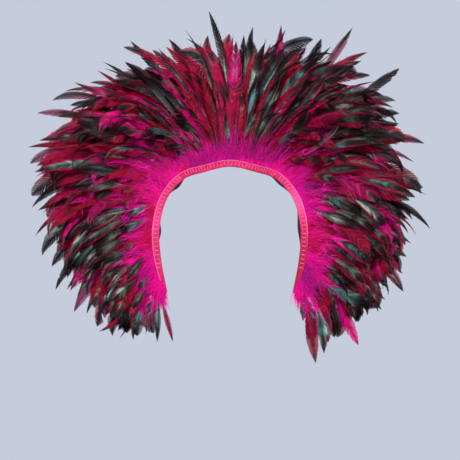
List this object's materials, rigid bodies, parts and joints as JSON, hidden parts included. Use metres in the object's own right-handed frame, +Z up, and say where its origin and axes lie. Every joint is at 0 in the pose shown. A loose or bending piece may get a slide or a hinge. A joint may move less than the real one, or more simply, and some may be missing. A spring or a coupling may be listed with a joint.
{
  "type": "feather cape",
  "caption": "Shoulder cape of layered dyed rooster feathers sewn to a felt collar that goes behind the neck and down both fronts, with a ribbon bound along its inner edge.",
  "frame": {"origin": "middle of the band at the nape, on the felt's front face, where the cape sits on the wearer", "axes": "+X to the right as seen from the front, +Z up, and the front faces -Y"},
  "size_m": [0.8398, 0.2803, 0.765],
  "materials": {
    "felt": "matte black felt",
    "ribbon": "satin pink ribbon",
    "front_feathers": "fluffy magenta feather bases with dark crimson vanes",
    "middle_feathers": "glossy crimson and black-green feather vanes",
    "back_feathers": "glossy dark crimson and black-green feather vanes"
  },
  "bodies": {
    "root": {"base_collar": "felt", "ribbon_left": "ribbon", "ribbon_neck": "ribbon", "ribbon_right": "ribbon", "front_row_left": "front_feathers", "front_row_neck_left": "front_feathers", "front_row_neck_right": "front_feathers", "front_row_right": "front_feathers", "middle_row_left": "middle_feathers", "middle_row_neck_left": "middle_feathers", "middle_row_neck_right": "middle_feathers", "middle_row_right": "middle_feathers", "back_row_left": "back_feathers", "back_row_neck_left": "back_feathers", "back_row_neck_right": "back_feathers", "back_row_right": "back_feathers"}
  },
  "joints": []
}
